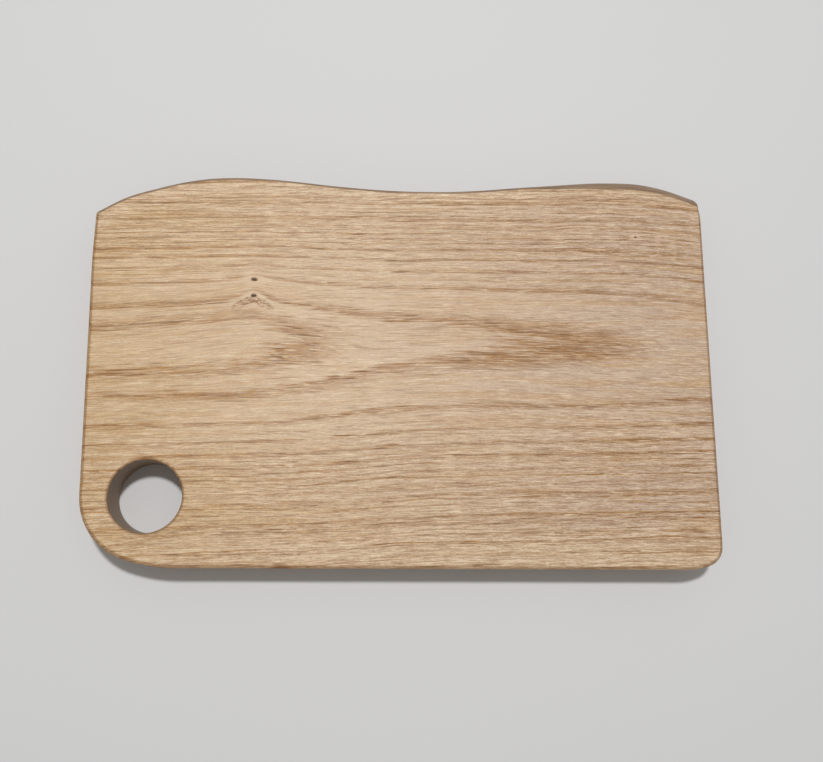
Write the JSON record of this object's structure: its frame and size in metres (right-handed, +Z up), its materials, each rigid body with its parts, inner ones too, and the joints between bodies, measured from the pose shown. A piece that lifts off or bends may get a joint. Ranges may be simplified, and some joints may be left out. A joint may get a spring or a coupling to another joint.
{
  "type": "bread board",
  "caption": "Solid oak bread and chopping board: one plank with a straight front edge, a wavy live edge at the back and a round corner hole to hold or hang it by.",
  "frame": {"origin": "centre of the plank's bounding box, on its underside", "axes": "+X along the grain, with the hole near the -X end; +Y from the straight edge to the wavy live edge; +Z up, out of the upper face"},
  "size_m": [0.2959, 0.192, 0.022],
  "materials": {
    "oak": "oiled oak, satin"
  },
  "bodies": {
    "root": {"board": "oak"}
  },
  "joints": []
}
